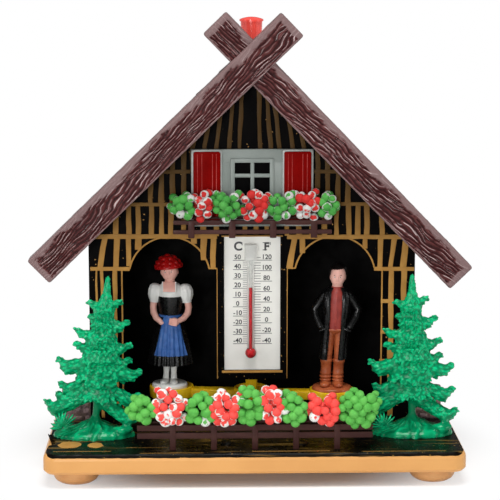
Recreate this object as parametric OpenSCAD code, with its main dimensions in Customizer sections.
// Alpine weather house. A beam with a figure at each end hangs on a gut strand from the chimney.
// The strand twists with the moisture in the air, so dry air brings the woman out of doors
// and damp air the man. Turning the chimney sets where the figures stand.
// Frame: +Z up, doorways facing -Y, origin on the standing surface under the middle of the base.
// The front face of the house wall lies at Y = 0.

/* [Base] */
// Width of the base across the front
base_w = 147; // [144:1:170]
// Depth of the base from front to back
base_d = 86; // [86:1:104]
// Height of the moulded base between its feet and its deck
base_h = 7; // [6:0.5:12]
// Radius of the base's corners seen from above
base_corner_r = 5; // [4:0.5:10]
// Radius of the rounded edges of the base
base_edge_r = 2; // [1:0.25:2.5]
// Thickness of the base's deck and rim
base_wall = 2.4; // [1.6:0.2:3]
// Height of a foot below the base
foot_h = 5; // [3:0.5:9]
// Radius of a foot where it meets the base
foot_r = 7.7; // [6:0.1:9]
// Radius of the flat that a foot stands on
foot_flat_r = 4.6; // [3:0.1:5.5]
// Distance of a foot's middle from the edges of the base
foot_inset = 11; // [10:0.5:16]
// Radius of the spigot that holds a foot in the base
foot_spigot_r = 3; // [2:0.1:4]

/* [House walls] */
// Width of the house across its front wall
house_w = 118.4; // [114:0.2:122]
// Depth from the front face of the front wall to the back face of the back panel
house_d = 42; // [42:0.5:46]
// Height of the gable's apex above the deck, under the roof
gable_h = 131; // [128:0.5:140]
// Thickness of the front wall and the side walls
wall_t = 2.5; // [2:0.1:3]
// Thickness of the back panel
back_t = 2; // [1.4:0.1:2.4]
// Distance of a doorway's middle from the middle of the house
door_x = 30; // [29:0.25:32]
// Width of a doorway below its shoulders
door_w = 34; // [32:0.5:36]
// Height of the doorway shoulders above the deck
door_shoulder_h = 57.4; // [56:0.2:60]
// Width of the arch above the shoulders
arch_w = 28.2; // [26:0.2:30]
// Rise of the arch above the shoulders
arch_rise = 11.5; // [9:0.25:12.5]
// Height of the gap below the middle pillar, where the beam passes
pillar_gap_h = 16; // [14:0.5:17]
// Radius of the hole in the back panel for hanging the house on a nail
hang_hole_r = 2.5; // [1.5:0.1:3.5]
// Width of a vent slot in the back panel
vent_w = 3; // [2:0.25:4]
// Height of a vent slot in the back panel
vent_h = 18; // [10:1:20]
// Height of the vent slots' lower ends above the deck
vent_z = 74; // [72:1:76]
// Distance from the vent slots' upper ends up to the middle of the hanging hole
hang_hole_rise = 10; // [6:0.5:14]
// Number of vent slots
vent_count = 7; // [3:2:9]
// Length of a tab that locates a wall in the deck
tab_len = 8; // [5:0.5:9]
// Depth of the tabs
tab_depth = 1.8; // [1:0.1:2.2]
// Thickness of the tabs
tab_t = 1.2; // [0.8:0.1:1.6]

/* [Roof] */
// Slope of the roof in degrees
roof_pitch = 45; // [44:0.5:46]
// Thickness of a roof panel without its shingles
roof_t = 3; // [2:0.1:4]
// Length of a roof panel down the slope
roof_len = 104; // [100:1:105]
// Overhang of the roof in front of the front wall
roof_front = 3.5; // [2.5:0.25:5]
// Overhang of the roof behind the back panel
roof_back = 1; // [0.5:0.25:1]
// Number of shingle courses on each side
shingle_courses = 9; // [6:1:14]
// Height of a shingle's lower edge
shingle_butt = 0.8; // [0.4:0.1:0.9]
// Half width of the ridge beam inside the roof
ridge_half_w = 7; // [5:0.5:9]
// Depth of the ridge beam's straight sides
ridge_side_h = 4; // [3:0.5:8]

/* [Gable logs] */
// Width of a log across its face
log_w = 11.6; // [10:0.1:12]
// Thickness of the log that passes in front
front_log_t = 8; // [7:0.25:9]
// Thickness of the log that passes behind
rear_log_t = 6.5; // [5:0.25:7]
// Depth left of the rear log under the crossing
log_lap_t = 3.5; // [2.5:0.25:4.5]
// Length of the front log below the crossing
log_below = 106.7; // [106:0.1:110]
// Length of the rear log below the crossing
rear_log_below = 107.9; // [106:0.1:110]
// Length of a log above the crossing
log_above = 19.5; // [14:0.1:22]
// Chamfer along the long edges of a log
log_chamfer = 1.4; // [0.6:0.1:2]
// How far the logs stand above the roof's bare surface
log_proud = 3.8; // [3.4:0.1:4.2]
// Lean of the crossed logs to the right in degrees
gable_lean = 0.9; // [0:0.1:1]

/* [Chimney and strand] */
// Radius of the chimney just below its lip
chimney_top_r = 3.95; // [3.6:0.05:4.5]
// Radius of the chimney at its foot
chimney_foot_r = 3.7; // [3.4:0.1:4.4]
// Radius of the lip round the chimney's top
chimney_lip_r = 4.35; // [4.2:0.05:5]
// Thickness of that lip
chimney_lip_t = 0.7; // [0.4:0.1:1.2]
// Height of the chimney's straight side
chimney_h = 11; // [9:0.25:13]
// Rise of the chimney's domed top
chimney_dome = 0.9; // [0.4:0.1:2]
// Radius of the spindle below the chimney
spindle_r = 2.5; // [2:0.1:3]
// Half width of the saddle that the chimney stands on
saddle_half_w = 5.5; // [5:0.25:7]
// Height of the saddle's top above the ridge line
saddle_rise = 0.4; // [0.3:0.1:1.5]
// Outer radius of the push-on washer that holds the spindle
washer_r = 4.6; // [3.8:0.1:6]
// Thickness of the push-on washer
washer_t = 1; // [0.6:0.1:1.5]
// Radius of the gut strand
strand_r = 0.5; // [0.3:0.05:0.7]
// Depth to which the strand is held at each end
strand_grip = 6; // [4:0.5:9]

/* [Figure beam] */
// Distance of the beam's axis behind the front face of the house
beam_y = 11; // [10.5:0.25:12]
// Height of the beam's underside above the deck
beam_gap_h = 6.5; // [4:0.25:7]
// Distance of each figure from the axis
beam_reach = 30; // [29.5:0.1:31]
// Width of the beam's arms
arm_w = 5.5; // [4:0.25:6]
// Height of the beam's arms
arm_h = 3.2; // [2.4:0.1:3.4]
// Outer radius of a cup that holds a figure
cup_r = 8.2; // [8:0.1:8.6]
// Height of a cup
cup_h = 4.1; // [3.5:0.1:5]
// Depth of the recess in a cup and in the hub
cup_recess = 0.9; // [0.5:0.1:1.2]
// Width of a cup's rim
cup_rim = 0.75; // [0.5:0.05:0.8]
// Outer radius of the hub
hub_r = 6.45; // [5.5:0.05:7]
// Width of the square stem above the hub
stem_w = 4; // [3:0.1:5]
// Height of the stem above the beam's underside
stem_h = 52; // [30:1:70]
// Angle of the beam in the photograph's pose, man forward
beam_rest = 6.5; // [0:0.5:10]

/* [Figures] */
// Radius of the woman's round stand
woman_stand_r = 6.65; // [6:0.05:7]
// Radius of the man's round stand
man_stand_r = 7.3; // [6.8:0.05:7.3]
// Thickness of both stands
stand_t = 2; // [1.6:0.1:3]
// Radius of the peg under each stand
peg_r = 1.4; // [1:0.1:1.8]
// Height of the woman's legs below the skirt
leg_h = 7.3; // [5:0.1:9]
// Height of the woman's skirt
skirt_h = 18.1; // [16:0.1:20]
// Half width of the skirt at its hem
skirt_half_w = 7.3; // [6:0.1:7.6]
// Height of the woman's bodice and blouse
bodice_h = 11; // [9:0.1:12]
// Height of the man's boots
boot_h = 10.4; // [8:0.1:12]
// Height of the man's trousers that show above the boots
trouser_h = 11.3; // [9:0.1:13]
// Height of the man's coat above the trousers
chest_h = 14; // [12:0.1:15]
// Height of a head from chin to crown
head_h = 9; // [7:0.1:10]
// Half width of a head
head_half_w = 3.2; // [2.6:0.1:3.6]
// Half depth of a head
head_half_d = 3.4; // [2.8:0.1:3.8]
// Half depth of the figures' bodies
torso_half_d = 3.2; // [2.6:0.1:3.6]
// Distance of the shoulders from the middle of a figure
shoulder_half_w = 5.4; // [4.8:0.1:5.6]
// Radius of the figures' arms
figure_arm_r = 1.4; // [1:0.1:1.7]
// Radius of the woman's puffed sleeves
sleeve_r = 2.5; // [1.8:0.1:2.7]
// Radius of the woman's legs
leg_r = 1.4; // [1.1:0.1:1.8]
// Radius of the man's boots and trouser legs
boot_r = 2; // [1.6:0.1:2.3]
// Length of a shoe in front of the leg
shoe_len = 2.8; // [2:0.1:3.4]
// Radius of the brim of the woman's hat
hat_brim_r = 5.4; // [4.6:0.1:6]
// Height of the woman's hat above its brim
hat_h = 5.8; // [4:0.1:7]

/* [Thermometer] */
// Width of the scale card
card_w = 20.4; // [18:0.1:21]
// Height of the scale card
card_h = 49.4; // [46:0.1:50]
// Height of the card's lower edge above the deck
card_z = 19.7; // [19.5:0.1:20]
// Thickness of the card
card_t = 0.8; // [0.5:0.1:1]
// Depth of the pocket that holds the card
card_pocket = 1; // [1:0.1:1.2]
// Width of the lip around the card
lip_w = 0.8; // [0.5:0.1:1.2]
// How far the lip stands out of the wall
lip_proud = 0.8; // [0.4:0.1:1.5]
// Outer radius of the glass tube
tube_r = 1.3; // [1:0.05:1.6]
// Radius of the bulb
bulb_r = 2; // [1.7:0.05:2.1]
// Bore radius of the glass tube
tube_bore_r = 0.5; // [0.3:0.05:0.7]
// Height of the bulb's middle above the card's lower edge
bulb_h = 6.6; // [5:0.1:8]
// Length of the tube above the bulb's middle
tube_len = 39.5; // [36:0.5:41]
// Length of the red column above the bulb's middle
column_len = 24.2; // [10:0.1:34]
// Shift of the tube from the middle of the card
tube_x = -0.6; // [-1:0.1:1]
// Width of the clip that holds the tube's top
clip_w = 4.4; // [3.8:0.1:6]
// Height of that clip
clip_h = 5; // [3:0.25:8]

/* [Window] */
// Width of the white window plate
window_w = 44; // [42:0.2:46]
// Height of the window plate
window_h = 28; // [26:0.2:29]
// Thickness of the window plate
window_t = 1.2; // [0.8:0.1:1.6]
// Width of a shutter
shutter_w = 10; // [8:0.1:10.5]
// Height of a shutter
shutter_h = 26.6; // [24:0.1:27]
// Thickness of a shutter
shutter_t = 1; // [0.6:0.1:1.4]
// White margin left around a shutter
shutter_margin = 0.7; // [0.4:0.1:1]
// Width of the raised border round the panes
pane_frame_w = 15.6; // [14:0.1:17]
// Width of that border's band and of the glazing bars
glazing_bar = 1.5; // [1:0.1:2]
// Height of an upper pane
upper_pane_h = 4; // [3:0.1:5]
// Height of a lower pane
lower_pane_h = 7.4; // [6:0.1:9]
// Margin of the plate above the raised border
pane_top = 3.3; // [2.5:0.1:4]
// How far the raised border stands out of the plate
pane_proud = 0.5; // [0.3:0.1:0.8]
// Radius of the pins that hold plates and rails on the wall
pin_r = 0.9; // [0.6:0.05:1]
// Length of those pins inside the wall
pin_len = 2; // [1.2:0.1:2]

/* [Balcony] */
// Width of the balcony rail
balcony_w = 56.8; // [54:0.2:60]
// Distance of the balcony's front from the wall
balcony_out = 6.8; // [6:0.2:8]
// Thickness of the balcony's rails and posts
rail_t = 1.5; // [1:0.1:2]
// Height of a rail
rail_h = 1.5; // [1:0.1:1.7]
// Height of the lower rail's underside above the lip round the thermometer
balcony_rise = 1.1; // [0.8:0.1:2]
// Distance between the undersides of the two rails
rail_pitch = 3.5; // [3:0.1:5]
// Distance between neighbouring posts
post_pitch = 14.65; // [13:0.05:15]
// Width of a post
post_w = 2.3; // [1.9:0.1:2.8]
// How far a post hangs below the lower rail
post_drop = 1.4; // [0.8:0.1:1.5]
// Number of balcony posts
balcony_posts = 4; // [2:2:4]
// Width of the row of balcony flowers
balcony_flowers_w = 60; // [56:0.5:64]
// Height of the row of balcony flowers
balcony_flowers_h = 10.6; // [9:0.1:12]
// Number of bunches in the balcony row
balcony_bunch_count = 7; // [5:2:9]

/* [Garden] */
// Width of the garden fence
fence_w = 82; // [78:0.5:86]
// Distance of the fence's front from the front edge of the base
fence_inset = 6; // [5:0.25:8]
// Height of the lower fence rail above the deck
fence_rail_z = 4.1; // [3:0.1:6]
// Height of a fence rail
fence_rail_h = 2.1; // [1.4:0.1:2.4]
// Distance between the undersides of the fence rails
fence_rail_pitch = 2.8; // [2.7:0.1:5]
// Distance between neighbouring fence posts
fence_post_pitch = 14.3; // [13:0.1:16]
// Width of a fence post
fence_post_w = 2.1; // [1.7:0.1:2.6]
// Number of fence posts
fence_posts = 5; // [3:2:5]
// Width of the row of fence flowers
fence_flowers_w = 86; // [80:0.5:90]
// Height of the row of fence flowers
fence_flowers_h = 13.6; // [11:0.1:15]
// Number of bunches in the fence row
fence_bunch_count = 9; // [5:2:9]
// Height of a tree above the deck
tree_h = 58.5; // [54:0.5:64]
// Distance of a tree's trunk from the middle of the base
tree_x = 57; // [56:0.25:60]
// Distance of the trees in front of the house wall
tree_y = 17; // [16.5:0.25:19]
// Radius of a tree's trunk at its foot
trunk_r = 3; // [2:0.1:4]
// Half width of the mound that a tree stands on
mound_half_w = 14.7; // [12:0.1:15.5]
// Half depth of that mound
mound_half_d = 8.5; // [7:0.1:9]
// Height of that mound
mound_h = 6; // [4:0.1:8]
// Lean of the left tree towards the house in degrees
tree_lean = 6; // [0:0.5:7]
// Width of a garden wall beside the house
stone_wall_w = 11; // [8:0.25:12]
// Height of a garden wall
stone_wall_h = 12.5; // [9:0.25:15]
// Thickness of a garden wall
stone_wall_t = 4; // [3:0.25:6]
// Number of stone courses in a garden wall
stone_courses = 4; // [3:1:6]

/* [Fits] */
// Clearance of pins, tabs and spigots in their holes
fit_gap = 0.1; // [0.05:0.01:0.15]
// Radial clearance of the turning spindle and of the strand inside it
running_gap = 0.05; // [0.03:0.01:0.08]
// Clearance between parts that only stand near each other
air_gap = 0.3; // [0.2:0.05:0.5]

/* [Hidden] */
$fn = 48;
// Facets of the small rounded shapes that merge into one moulding
mould_fn = 16;
ball_fn = 8;
leaf_fn = 6;
// Overlap that makes cuts run clean through
cut = 1;

deck_z = foot_h + base_h;
apex_z = deck_z + gable_h;
back_y = house_d;
hang_hole_z = deck_z + vent_z + vent_h + hang_hole_rise;
roof_y0 = -roof_front;
roof_y1 = house_d + roof_back;
ridge_z = apex_z + roof_t / cos(roof_pitch);
arch_r = (arch_w * arch_w / 4 + arch_rise * arch_rise) / (2 * arch_rise);
foot_ball_z = (foot_r * foot_r + foot_h * foot_h - foot_flat_r * foot_flat_r) / (2 * foot_h);
foot_ball_r = sqrt(foot_flat_r * foot_flat_r + foot_ball_z * foot_ball_z);
foot_spigot_h = base_h - base_wall;
log_z = ridge_z + (log_proud - log_w / 2) / cos(roof_pitch);
beam_z = deck_z + beam_gap_h;
cup_floor_z = beam_z + cup_h - cup_recess;
stem_top_z = beam_z + stem_h;
saddle_z = ridge_z + saddle_rise;
saddle_half_d = saddle_half_w;
chimney_z = saddle_z + fit_gap;
ridge_under_z = apex_z - ridge_half_w * tan(roof_pitch) - ridge_side_h;
spindle_z = ridge_under_z - 2 * washer_t - fit_gap;
card_low_z = deck_z + card_z;
pocket_w = card_w + 2 * fit_gap;
pocket_h = card_h + 2 * fit_gap;
lip_top_z = card_low_z + card_h + fit_gap + lip_w;
balcony_low_z = lip_top_z + balcony_rise;
window_low_z = balcony_low_z + rail_h / 2 + pin_r + air_gap;
bulb_z = card_low_z + bulb_h;
card_y = card_pocket - card_t;
tube_y = card_y - tube_r - fit_gap / 2;
pane_frame_h = upper_pane_h + lower_pane_h + 3 * glazing_bar;
pane_frame_z = window_low_z + window_h - pane_top - pane_frame_h;
balcony_top_z = balcony_low_z + rail_pitch + rail_h;
balcony_y = -balcony_out;
fence_y = -base_d / 2 + fence_inset;
fence_top_z = deck_z + fence_rail_z + fence_rail_pitch + fence_rail_h;
stone_wall_y = wall_t;
tree_peg_r = 1.6;
// Branches of a tree, each as its share of the tree's height and its reach in millimetres
left_branches = [
    [0.84, 6.2], [0.75, 6], [0.67, 10.4], [0.59, 10.4], [0.48, 16], [0.35, 15], [0.27, 17.5]
];
right_branches = [
    [0.86, 5.3], [0.74, 8.6], [0.62, 9.8], [0.53, 9.8], [0.46, 13.8], [0.32, 13.4], [0.2, 15.2]
];
// Small bunch of flower heads, as steps across and up in flower radii
bunch_steps = [[-1.1, 0], [1, 0.3], [-0.2, 1.6], [1.2, 2.2], [-1.2, 2.9], [0.4, 3.6]];

// Height of the roof's underside at a distance from the middle
function under_roof(x) = apex_z - abs(x) * tan(roof_pitch);
// Point of the roof section: s runs down the slope from the apex, t stands square to it
function slope_point(s, t) =
    [s * cos(roof_pitch) + t * sin(roof_pitch), apex_z - s * sin(roof_pitch) + t * cos(roof_pitch)];

// Upright slab: a flat outline in X and Z, from y0 towards the back
module upright(y0, t) {
    translate([0, y0 + t, 0]) rotate([90, 0, 0]) linear_extrude(t) children();
}

// Rectangle in X and Z, centred on X
module panel(w, h, z0) {
    translate([-w / 2, z0]) square([w, h]);
}

// Both sides of the house
module both_sides() {
    children();
    mirror([1, 0, 0]) children();
}

// Places that repeat along X with their middle at 0
module along_x(count, pitch) {
    for (i = [0 : count - 1]) translate([(i - (count - 1) / 2) * pitch, 0, 0]) children();
}

// Round pin or hole along +Y
module pin_y(r, length, y0) {
    translate([0, y0 + length, 0]) rotate([90, 0, 0]) cylinder(r = r, h = length);
}

// Tab below the deck's surface, or its slot with a gap round it
module deck_tab(gap = 0) {
    above = gap > 0 ? cut : 0;
    translate([-tab_len / 2 - gap, -tab_t / 2 - gap, deck_z - tab_depth - gap])
        cube([tab_len + 2 * gap, tab_t + 2 * gap, tab_depth + gap + above]);
}

module front_tabs(gap = 0) {
    for (side = [-1, 1])
        translate([side * (house_w / 2 + door_x + door_w / 2) / 2, wall_t / 2, 0]) deck_tab(gap);
}

module back_tabs(gap = 0) {
    for (side = [-1, 1]) translate([side * door_x, back_y - back_t / 2, 0]) deck_tab(gap);
}

module side_tab(side, gap = 0) {
    translate([side * (house_w - wall_t) / 2, house_d / 2, 0]) rotate([0, 0, 90]) deck_tab(gap);
}

module garden_wall_tab(side, gap = 0) {
    translate([side * (house_w + stone_wall_w) / 2, stone_wall_y + stone_wall_t / 2, 0]) deck_tab(gap);
}

module at_feet() {
    for (sx = [-1, 1], sy = [-1, 1])
        translate([sx * (base_w / 2 - foot_inset), sy * (base_d / 2 - foot_inset), 0]) children();
}

module at_tree(side) {
    translate([side * tree_x, -tree_y, deck_z]) children();
}

// Corner of the base: a round post with rounded upper and lower edges
module base_corner() {
    rotate_extrude($fn = 32) {
        translate([0, base_edge_r / 2]) square([base_corner_r, base_h - 1.5 * base_edge_r]);
        square([base_corner_r - base_edge_r / 2, base_h]);
        translate([base_corner_r - base_edge_r, base_h - base_edge_r]) circle(base_edge_r, $fn = 16);
    }
}

module base_plate() {
    color("burlywood") difference() {
        hull() for (sx = [-1, 1], sy = [-1, 1])
            translate([sx * (base_w / 2 - base_corner_r), sy * (base_d / 2 - base_corner_r), foot_h])
                base_corner();
        difference() {
            translate([-base_w / 2 + base_wall, -base_d / 2 + base_wall, foot_h - cut])
                cube([base_w - 2 * base_wall, base_d - 2 * base_wall, base_h - base_wall + cut]);
            at_feet() translate([0, 0, foot_h - 2 * cut]) cylinder(r = foot_r, h = base_h + 2 * cut);
        }
        at_feet() translate([0, 0, foot_h - cut])
            cylinder(r = foot_spigot_r + fit_gap, h = foot_spigot_h + fit_gap + cut);
        front_tabs(fit_gap);
        back_tabs(fit_gap);
        for (side = [-1, 1]) {
            side_tab(side, fit_gap);
            garden_wall_tab(side, fit_gap);
            at_tree(side) translate([0, 0, -tab_depth - fit_gap])
                cylinder(r = tree_peg_r + fit_gap, h = tab_depth + fit_gap + cut);
        }
        along_x(fence_posts, fence_post_pitch)
            translate([0, fence_y + rail_t / 2, deck_z - tab_depth - fit_gap])
                cylinder(r = rail_t / 2 + fit_gap, h = tab_depth + fit_gap + cut);
    }
}

module base_feet() {
    color("burlywood") at_feet() {
        intersection() {
            translate([0, 0, foot_ball_z]) sphere(foot_ball_r);
            cylinder(r = foot_ball_r + cut, h = foot_h);
        }
        translate([0, 0, foot_h]) cylinder(r = foot_spigot_r, h = foot_spigot_h);
    }
}

module gable_outline() {
    polygon([
        [-house_w / 2, deck_z], [house_w / 2, deck_z], [house_w / 2, under_roof(house_w / 2)],
        [0, apex_z], [-house_w / 2, under_roof(house_w / 2)]
    ]);
}

// Doorway with shoulders and a round arch above them
module doorway_outline() {
    shoulder_z = deck_z + door_shoulder_h;
    panel(door_w, door_shoulder_h + cut, deck_z - cut);
    intersection() {
        translate([0, shoulder_z + arch_rise - arch_r]) circle(arch_r);
        panel(arch_w, arch_rise + 2 * cut, shoulder_z - cut);
    }
}

module at_window_pins() {
    for (side = [-1, 1])
        translate([side * (window_w / 2 - shutter_w / 2), 0, window_low_z + window_h / 2]) children();
}

module at_balcony_pins() {
    along_x(balcony_posts, post_pitch) translate([0, 0, balcony_low_z + rail_h / 2]) children();
}

module front_wall() {
    color([0.1, 0.09, 0.08]) {
        difference() {
            upright(0, wall_t) difference() {
                gable_outline();
                for (side = [-1, 1]) translate([side * door_x, 0]) doorway_outline();
                panel(2 * door_x, pillar_gap_h + cut, deck_z - cut);
            }
            upright(-cut, card_pocket + cut) panel(pocket_w, pocket_h, card_low_z - fit_gap);
            at_window_pins() pin_y(pin_r + fit_gap, pin_len + fit_gap + cut, -cut);
            at_balcony_pins() pin_y(pin_r + fit_gap, pin_len + fit_gap + cut, -cut);
            translate([tube_x, 0, bulb_z]) pin_y(bulb_r + air_gap, tube_y + bulb_r + air_gap + cut, -cut);
        }
        upright(-lip_proud, lip_proud) difference() {
            panel(pocket_w + 2 * lip_w, pocket_h + 2 * lip_w, card_low_z - fit_gap - lip_w);
            panel(pocket_w, pocket_h, card_low_z - fit_gap);
        }
        front_tabs();
    }
}

module side_wall(side) {
    inner_x = house_w / 2 - wall_t;
    outline = [
        [inner_x, deck_z], [house_w / 2, deck_z],
        [house_w / 2, under_roof(house_w / 2)], [inner_x, under_roof(inner_x)]
    ];
    mirror([side < 0 ? 1 : 0, 0, 0]) {
        upright(wall_t, house_d - wall_t - back_t) polygon(outline);
        side_tab(1);
    }
}

module left_side_wall() { color("saddlebrown") side_wall(-1); }
module right_side_wall() { color("saddlebrown") side_wall(1); }

module back_panel() {
    color([0.1, 0.09, 0.08]) {
        difference() {
            upright(back_y - back_t, back_t) gable_outline();
            translate([0, 0, hang_hole_z]) pin_y(hang_hole_r, back_t + 2 * cut, back_y - back_t - cut);
            along_x(vent_count, 3 * vent_w)
                upright(back_y - back_t - cut, back_t + 2 * cut)
                    panel(vent_w, vent_h, deck_z + vent_z);
        }
        back_tabs();
    }
}

// Half of the roof in section: a slab with stepped shingle courses, mitred at the ridge
module roof_section() {
    course = roof_len / shingle_courses;
    steps = [for (i = [shingle_courses : -1 : 1]) each [
        slope_point(i * course, roof_t + shingle_butt),
        slope_point((i - 1) * course, roof_t)
    ]];
    polygon(concat(
        [slope_point(0, 0), slope_point(roof_len, 0)],
        [for (i = [0 : len(steps) - 2]) steps[i]],
        [[0, ridge_z]]
    ));
}

module roof_panel(side) {
    color([0.3, 0.17, 0.14]) difference() {
        mirror([side < 0 ? 1 : 0, 0, 0]) upright(roof_y0, roof_y1 - roof_y0) roof_section();
        translate([0, beam_y, under_roof(spindle_r + air_gap) - cut])
            cylinder(r = spindle_r + air_gap, h = ridge_z - under_roof(spindle_r + air_gap) + 2 * cut);
    }
}

module left_roof_panel() { roof_panel(-1); }
module right_roof_panel() { roof_panel(1); }

module ridge_beam() {
    color("saddlebrown") difference() {
        upright(wall_t, house_d - wall_t - back_t) polygon([
            [0, apex_z], [ridge_half_w, under_roof(ridge_half_w)], [ridge_half_w, ridge_under_z],
            [-ridge_half_w, ridge_under_z], [-ridge_half_w, under_roof(ridge_half_w)]
        ]);
        translate([0, beam_y, ridge_under_z - cut])
            cylinder(r = spindle_r + running_gap, h = apex_z - ridge_under_z + 2 * cut);
    }
}

// Straight log with chamfered front edges, rising to the right; its back lies on the roof's front edge
module log_bar(thickness, below) {
    y1 = roof_y0;
    y0 = roof_y0 - thickness;
    translate([0, 0, log_z]) rotate([0, 90 - roof_pitch, 0]) translate([0, 0, -below])
        linear_extrude(below + log_above) polygon([
            [-log_w / 2, y1], [-log_w / 2, y0 + log_chamfer], [-log_w / 2 + log_chamfer, y0],
            [log_w / 2 - log_chamfer, y0], [log_w / 2, y0 + log_chamfer], [log_w / 2, y1]
        ]);
}

// Block across a log where the other log crosses it
module lap_block(y0, y1, gap) {
    translate([0, 0, log_z]) rotate([0, roof_pitch - 90, 0])
        translate([-log_w / 2 - gap, y0, -log_w])
            cube([log_w + 2 * gap, y1 - y0, 2 * log_w]);
}

// Both logs lean together about their crossing
module lean_gable() {
    translate([0, 0, log_z]) rotate([0, gable_lean, 0]) translate([0, 0, -log_z]) children();
}

module left_gable_log() {
    color([0.33, 0.2, 0.18]) lean_gable() difference() {
        log_bar(front_log_t, log_below);
        lap_block(roof_y0 - log_lap_t - fit_gap, roof_y0 + cut, fit_gap);
    }
}

module right_gable_log() {
    color([0.33, 0.2, 0.18]) lean_gable() mirror([1, 0, 0]) difference() {
        log_bar(rear_log_t, rear_log_below);
        lap_block(roof_y0 - front_log_t - cut, roof_y0 - log_lap_t, fit_gap);
    }
}

// Saddle that fits over the ridge and gives the chimney a flat seat
module chimney_saddle() {
    first_butt = slope_point(roof_len / shingle_courses, roof_t + shingle_butt);
    fall = (ridge_z - first_butt[1]) / first_butt[0];
    edge_z = ridge_z - fall * saddle_half_w;
    color("saddlebrown") difference() {
        upright(beam_y - saddle_half_d, 2 * saddle_half_d) polygon([
            [-saddle_half_w, edge_z], [0, ridge_z], [saddle_half_w, edge_z],
            [saddle_half_w, saddle_z], [-saddle_half_w, saddle_z]
        ]);
        translate([0, beam_y, edge_z - cut])
            cylinder(r = spindle_r + air_gap, h = saddle_z - edge_z + 2 * cut);
    }
}

module chimney_knob() {
    dome_r = (chimney_lip_r * chimney_lip_r + chimney_dome * chimney_dome) / (2 * chimney_dome);
    top_z = chimney_z + chimney_h;
    color("red") translate([0, beam_y, 0]) difference() {
        union() {
            translate([0, 0, chimney_z]) cylinder(r1 = chimney_foot_r, r2 = chimney_top_r, h = chimney_h);
            intersection() {
                translate([0, 0, top_z - chimney_lip_t])
                    cylinder(r = chimney_lip_r, h = chimney_lip_t + chimney_dome);
                translate([0, 0, top_z + chimney_dome - dome_r]) sphere(dome_r);
            }
            translate([0, 0, spindle_z]) cylinder(r = spindle_r, h = chimney_z - spindle_z + cut);
        }
        translate([0, 0, spindle_z - cut]) cylinder(r = strand_r + running_gap, h = strand_grip + 2 * cut);
    }
}

module spindle_washer() {
    color("silver") translate([0, beam_y, ridge_under_z - washer_t - fit_gap]) difference() {
        cylinder(r = washer_r, h = washer_t);
        translate([0, 0, -cut]) cylinder(r = spindle_r + running_gap, h = washer_t + 2 * cut);
    }
}

module gut_strand() {
    low_z = stem_top_z - strand_grip;
    color("wheat") translate([0, beam_y, low_z])
        cylinder(r = strand_r, h = spindle_z + strand_grip - low_z);
}

// Everything that hangs on the strand, in the beam's own frame and at its resting angle
module on_beam() {
    translate([0, beam_y, 0]) rotate([0, 0, -beam_rest]) children();
}

module cup(r) {
    difference() {
        cylinder(r = r, h = cup_h);
        translate([0, 0, cup_h - cup_recess]) cylinder(r = r - cup_rim, h = cup_recess + cut);
    }
}

module figure_beam() {
    arm_len = beam_reach - cup_r + cup_rim;
    color("gold") on_beam() translate([0, 0, beam_z]) difference() {
        union() {
            for (side = [-1, 1]) {
                translate([side * beam_reach, 0, 0]) cup(cup_r);
                translate([side * arm_len / 2, 0, arm_h / 2])
                    cube([arm_len - 2 * (hub_r - cup_rim), arm_w, arm_h], center = true);
                translate([side * (hub_r + arm_len) / 2, 0, arm_h / 2])
                    cube([arm_len - hub_r + 2 * cup_rim, arm_w, arm_h], center = true);
            }
            cup(hub_r);
            translate([-stem_w / 2, -stem_w / 2, 0]) cube([stem_w, stem_w, stem_h]);
        }
        for (side = [-1, 1]) translate([side * beam_reach, 0, -cut])
            cylinder(r = peg_r + fit_gap, h = cup_h + 2 * cut);
        translate([0, 0, stem_h - strand_grip - fit_gap])
            cylinder(r = strand_r + running_gap, h = strand_grip + cut);
    }
}

// Flattened ball, as a moulded lump
module lump(x, y, z, rx, ry, rz) {
    translate([x, y, z]) scale([rx, ry, rz]) hull() sphere(1, $fn = mould_fn);
}

// Tapered limb between two points
module limb(a, b, ra, rb) {
    hull() {
        translate(a) sphere(ra, $fn = ball_fn);
        translate(b) sphere(rb, $fn = ball_fn);
    }
}

// Round stand with the peg that holds it in its cup
module stand(r) {
    cylinder(r = r, h = stand_t, $fn = 32);
    translate([0, 0, -cup_h + cup_recess]) cylinder(r = peg_r, h = cup_h, $fn = 24);
}

// Stack of two oval outlines
module oval_taper(z0, w0, d0, z1, w1, d1) {
    hull() {
        translate([0, 0, z0]) scale([w0, d0, 1]) cylinder(r = 1, h = 0.1, $fn = 24);
        translate([0, 0, z1 - 0.1]) scale([w1, d1, 1]) cylinder(r = 1, h = 0.1, $fn = 24);
    }
}

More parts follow.
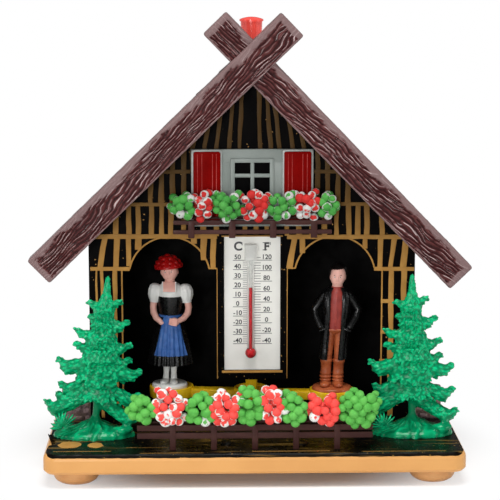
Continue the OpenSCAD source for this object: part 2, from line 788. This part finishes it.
module woman_figure() {
    hem_z = stand_t + leg_h;
    waist_z = hem_z + skirt_h;
    bust_z = waist_z + 0.7 * bodice_h;
    neck_z = waist_z + bodice_h;
    brim_z = neck_z + 0.75 * head_h;
    fold_z = waist_z - skirt_h / 3;
    waist = 0.52 * skirt_half_w;
    fold_half_w = 0.77 * skirt_half_w;
    bust = 0.9 * shoulder_half_w;
    hat_top_r = 0.7 * hat_brim_r;
    color("white") on_beam() translate([-beam_reach, 0, cup_floor_z]) {
        stand(woman_stand_r);
        for (side = [-1, 1]) {
            elbow = [side * (shoulder_half_w + 0.6 * figure_arm_r), -figure_arm_r / 2, waist_z];
            hand = [side * figure_arm_r, -torso_half_d - figure_arm_r, waist_z - 1.5 * figure_arm_r];
            limb([side * leg_r, 0, stand_t], [side * leg_r, 0, hem_z + leg_r], leg_r, leg_r);
            lump(side * leg_r, -shoe_len / 2, stand_t + leg_r / 2, leg_r, shoe_len, 0.7 * leg_r);
            lump(side * shoulder_half_w, 0, neck_z - 1.2 * sleeve_r, sleeve_r, sleeve_r, 1.4 * sleeve_r);
            limb([elbow[0], 0, neck_z - 2 * sleeve_r], elbow, figure_arm_r, figure_arm_r);
            limb(elbow, hand, figure_arm_r, 0.8 * figure_arm_r);
        }
        oval_taper(hem_z, skirt_half_w, 1.8 * torso_half_d, fold_z, fold_half_w, 1.4 * torso_half_d);
        oval_taper(fold_z, fold_half_w, 1.4 * torso_half_d, waist_z, waist, torso_half_d);
        oval_taper(waist_z, waist, torso_half_d, bust_z, bust, 1.1 * torso_half_d);
        oval_taper(bust_z, bust, 1.1 * torso_half_d, neck_z, head_half_w, torso_half_d / 2);
        limb([0, 0, neck_z - figure_arm_r], [0, 0, neck_z + head_h / 3], figure_arm_r, figure_arm_r);
        lump(0, 0, neck_z + 0.52 * head_h, head_half_w, head_half_d, 0.55 * head_h);
        oval_taper(
            brim_z, hat_brim_r, 0.92 * hat_brim_r, brim_z + 0.7 * hat_h, hat_top_r, 0.95 * hat_top_r
        );
        lump(0, 0, brim_z + 0.55 * hat_h, 0.94 * hat_top_r, 0.9 * hat_top_r, 0.45 * hat_h);
    }
}

module man_figure() {
    knee_z = stand_t + boot_h;
    hip_z = knee_z + trouser_h;
    neck_z = hip_z + chest_h;
    chest_z = hip_z + 0.6 * chest_h;
    yoke_z = neck_z - 0.1 * chest_h;
    crown_z = neck_z + 0.82 * head_h;
    neck_r = 1.2 * figure_arm_r;
    color("sienna") on_beam() translate([beam_reach, 0, cup_floor_z]) {
        stand(man_stand_r);
        for (side = [-1, 1]) {
            shoulder = [side * shoulder_half_w, 0, neck_z - 1.8 * figure_arm_r];
            elbow_x = shoulder_half_w + 1.4 * figure_arm_r;
            hand_x = shoulder_half_w - figure_arm_r / 3;
            elbow = [side * elbow_x, figure_arm_r / 2, hip_z + 0.46 * chest_h];
            hand = [side * hand_x, -torso_half_d / 2, hip_z - figure_arm_r / 2];
            limb([side * boot_r, 0, stand_t], [side * boot_r, 0, knee_z], boot_r, boot_r);
            lump(side * boot_r, -shoe_len / 2, stand_t + boot_r / 3, boot_r, 1.15 * shoe_len, 0.6 * boot_r);
            thigh = [side * 0.8 * boot_r, 0, hip_z + boot_r];
            limb([side * boot_r, 0, knee_z], thigh, 0.9 * boot_r, boot_r);
            limb(shoulder, elbow, 1.3 * figure_arm_r, 1.1 * figure_arm_r);
            limb(elbow, hand, 1.1 * figure_arm_r, figure_arm_r);
            hull() {
                translate([side * 1.6 * boot_r, 0, knee_z])
                    cylinder(r = 0.9 * boot_r, h = cut, $fn = mould_fn);
                translate([side * 1.6 * boot_r, 0, hip_z])
                    cylinder(r = boot_r, h = boot_r, $fn = mould_fn);
            }
        }
        oval_taper(
            hip_z - cut, 0.9 * shoulder_half_w, torso_half_d, chest_z, shoulder_half_w, torso_half_d
        );
        oval_taper(chest_z, shoulder_half_w, torso_half_d, yoke_z, shoulder_half_w, 0.9 * torso_half_d);
        oval_taper(
            yoke_z, shoulder_half_w, 0.9 * torso_half_d, neck_z, 0.7 * head_half_w, 0.6 * torso_half_d
        );
        limb([0, 0, neck_z - neck_r], [0, 0, neck_z + head_h / 3], neck_r, neck_r);
        lump(0, 0, neck_z + 0.52 * head_h, head_half_w, head_half_d, 0.56 * head_h);
        lump(0, 0.1 * head_half_d, crown_z, 1.08 * head_half_w, 1.06 * head_half_d, 0.3 * head_h);
    }
}

module thermometer_card() {
    color("white") difference() {
        upright(card_y, card_t) panel(card_w, card_h, card_low_z);
        translate([tube_x, 0, bulb_z]) pin_y(bulb_r + air_gap, card_t + 2 * cut, card_y - cut);
    }
}

module thermometer_tube() {
    color([0.9, 0.95, 1, 0.4]) translate([tube_x, tube_y, bulb_z]) difference() {
        union() {
            sphere(bulb_r);
            cylinder(r = tube_r, h = tube_len - tube_r);
            translate([0, 0, tube_len - tube_r]) sphere(tube_r);
        }
        sphere(bulb_r - tube_bore_r);
        cylinder(r = tube_bore_r, h = tube_len - 2 * tube_r);
    }
}

module spirit_column() {
    color("crimson") translate([tube_x, tube_y, bulb_z]) {
        sphere(bulb_r - tube_bore_r - running_gap);
        cylinder(r = tube_bore_r - running_gap, h = column_len);
    }
}

// Saddle-shaped clip over the top of the tube, against the card
module tube_clip() {
    clip_z = bulb_z + tube_len - clip_h;
    front_y = tube_y - tube_r - rail_t / 2;
    color("whitesmoke") difference() {
        translate([tube_x - clip_w / 2, front_y, clip_z])
            cube([clip_w, card_y - front_y, clip_h + rail_t / 2]);
        translate([tube_x, tube_y, clip_z - cut]) cylinder(r = tube_r + fit_gap, h = clip_h + cut);
        translate([tube_x - tube_r - fit_gap, tube_y, clip_z - cut])
            cube([2 * (tube_r + fit_gap), tube_r + cut, clip_h + cut]);
        translate([tube_x, tube_y, clip_z + clip_h - tube_r]) sphere(tube_r + fit_gap);
    }
}

module window_frame() {
    pane_w = (pane_frame_w - 3 * glazing_bar) / 2;
    lower_z = pane_frame_z + glazing_bar;
    color("gainsboro") {
        difference() {
            union() {
                upright(-window_t, window_t) panel(window_w, window_h, window_low_z);
                upright(-window_t - pane_proud, pane_proud + window_t)
                    panel(pane_frame_w, pane_frame_h, pane_frame_z);
            }
            for (side = [-1, 1]) translate([side * (pane_w + glazing_bar) / 2, 0, 0])
                upright(-window_t - pane_proud - cut, window_t + pane_proud + 2 * cut) {
                    panel(pane_w, lower_pane_h, lower_z);
                    panel(pane_w, upper_pane_h, lower_z + lower_pane_h + glazing_bar);
                }
        }
        at_window_pins() pin_y(pin_r, pin_len + window_t / 2, -window_t / 2);
    }
}

// Louvred shutter: an upright board with three grooves down its face
module shutter(side) {
    groove = 0.25 * shutter_t;
    board = shutter_w / 4;
    face = [for (i = [1 : 3]) each [
        [i * board - groove, -shutter_t], [i * board, -shutter_t + groove], [i * board + groove, -shutter_t]
    ]];
    x0 = side * (window_w / 2 - shutter_margin - shutter_w / 2) - shutter_w / 2;
    color("firebrick") translate([x0, -window_t, window_low_z + window_h - shutter_margin - shutter_h])
        linear_extrude(shutter_h)
            polygon(concat([[0, 0], [0, -shutter_t]], face, [[shutter_w, -shutter_t], [shutter_w, 0]]));
}

module left_shutter() { shutter(-1); }
module right_shutter() { shutter(1); }

module balcony_rail() {
    post_low = balcony_low_z - post_drop;
    color([0.28, 0.15, 0.14]) {
        upright(balcony_y, rail_t) {
            panel(balcony_w, rail_h, balcony_low_z);
            panel(balcony_w, rail_h, balcony_low_z + rail_pitch);
        }
        along_x(balcony_posts, post_pitch)
            upright(balcony_y - rail_t / 4, rail_t) panel(post_w, balcony_top_z - post_low, post_low);
        at_balcony_pins() pin_y(pin_r, balcony_out - rail_t / 2 + pin_len, balcony_y + rail_t / 2);
    }
}

// Row of flower bunches: round heads on a strip, as one moulding
module flower_row(w, h, bunches) {
    pitch = w / bunches;
    head_r = min(pitch / 4.4, h / 5.6);
    translate([-w / 2 + head_r, 0, 0]) cube([w - 2 * head_r, head_r, 2 * head_r]);
    for (i = [0 : bunches - 1], step = bunch_steps) {
        flip = i % 2 == 0 ? 1 : -1;
        translate([
            (i - (bunches - 1) / 2) * pitch + flip * step[0] * head_r,
            -0.15 * head_r + 0.35 * head_r * sin(140 * i + 75 * step[1]),
            head_r * (1 + step[1])
        ]) hull() sphere(head_r * (1 + 0.12 * sin(97 * i + 160 * step[1])), $fn = ball_fn);
    }
}

module balcony_flowers() {
    color("forestgreen") intersection() {
        translate([0, balcony_y + rail_t / 2, balcony_top_z])
            flower_row(balcony_flowers_w, balcony_flowers_h, balcony_bunch_count);
        translate([-base_w / 2, balcony_y - balcony_out, balcony_top_z])
            cube([base_w, 2 * balcony_out - window_t - shutter_t - air_gap, gable_h]);
    }
}

module garden_fence() {
    rail_z = deck_z + fence_rail_z;
    color([0.28, 0.15, 0.14]) {
        upright(fence_y, rail_t) {
            panel(fence_w, fence_rail_h, rail_z);
            panel(fence_w, fence_rail_h, rail_z + fence_rail_pitch);
        }
        along_x(fence_posts, fence_post_pitch) {
            upright(fence_y, rail_t) panel(fence_post_w, fence_top_z - deck_z, deck_z);
            translate([0, fence_y + rail_t / 2, deck_z - tab_depth])
                cylinder(r = rail_t / 2, h = tab_depth + rail_t);
        }
    }
}

module fence_flowers() {
    color("limegreen") intersection() {
        translate([0, fence_y + rail_t / 2, fence_top_z])
            flower_row(fence_flowers_w, fence_flowers_h, fence_bunch_count);
        translate([-base_w / 2, -base_d / 2, fence_top_z]) cube([base_w, base_d / 2, gable_h]);
    }
}

// Branch that droops from the trunk and turns up at its tip
module branch(side, share, reach) {
    z = share * tree_h;
    hull() {
        translate([0, 0, z + 0.35 * reach]) scale([1, 0.9, 1]) sphere(0.22 * reach + 0.8, $fn = leaf_fn);
        translate([side * 0.6 * reach, 0, z - 0.2])
            scale([1, 1.1, 1]) sphere(0.12 * reach + 0.9, $fn = leaf_fn);
        translate([side * (reach - 0.8), 0, z + 0.6]) sphere(0.8, $fn = leaf_fn);
    }
}

// Moulded fir: a mound with a trunk, two rows of side branches and boughs to the front and back
module tree(lean) {
    lowest = right_branches[len(right_branches) - 1];
    intersection() {
        scale([mound_half_w, mound_half_d, mound_h]) hull() sphere(1, $fn = 24);
        translate([-mound_half_w, -mound_half_d, 0]) cube([2 * mound_half_w, 2 * mound_half_d, mound_h]);
    }
    translate([0, 0, -tab_depth]) cylinder(r = tree_peg_r, h = tab_depth + mound_h / 2, $fn = 24);
    rotate([0, lean, 0]) {
        translate([0, 0, mound_h / 4]) cylinder(r1 = trunk_r, r2 = trunk_r / 2, h = 0.5 * tree_h, $fn = 12);
        hull() {
            translate([0, 0, lowest[0] * tree_h + 4]) cylinder(r = 4, h = 1, $fn = 12);
            translate([0, 0, tree_h - 1]) sphere(1, $fn = leaf_fn);
        }
        for (b = left_branches) branch(-1, b[0], b[1]);
        for (b = right_branches) branch(1, b[0], b[1]);
        for (i = [1 : 2 : len(left_branches) - 1]) for (turn = [90, -90])
            rotate([0, 0, turn]) branch(1, left_branches[i][0] + 0.03, 0.25 * left_branches[i][1] + 3);
    }
}

module left_tree() { color("mediumseagreen") at_tree(-1) tree(tree_lean); }
module right_tree() { color("mediumseagreen") at_tree(1) tree(0); }

// Low wall of coursed stone beside the house
module garden_wall(side) {
    course = stone_wall_h / stone_courses;
    joint = 0.35;
    front = [for (i = [1 : stone_courses - 1]) each [
        [0, i * course - joint], [joint, i * course], [0, i * course + joint]
    ]];
    x0 = house_w / 2;
    color("rosybrown") mirror([side < 0 ? 1 : 0, 0, 0]) {
        translate([x0, stone_wall_y, deck_z]) rotate([90, 0, 90]) linear_extrude(stone_wall_w)
            polygon(concat(
                [[stone_wall_t, 0], [0, 0]], front,
                [[0, stone_wall_h], [stone_wall_t, stone_wall_h]]
            ));
        garden_wall_tab(1);
    }
}

module left_garden_wall() { garden_wall(-1); }
module right_garden_wall() { garden_wall(1); }

base_plate();
base_feet();
front_wall();
left_side_wall();
right_side_wall();
back_panel();
left_roof_panel();
right_roof_panel();
ridge_beam();
left_gable_log();
right_gable_log();
chimney_saddle();
chimney_knob();
spindle_washer();
gut_strand();
figure_beam();
woman_figure();
man_figure();
thermometer_card();
thermometer_tube();
spirit_column();
tube_clip();
window_frame();
left_shutter();
right_shutter();
balcony_rail();
balcony_flowers();
garden_fence();
fence_flowers();
left_tree();
right_tree();
left_garden_wall();
right_garden_wall();
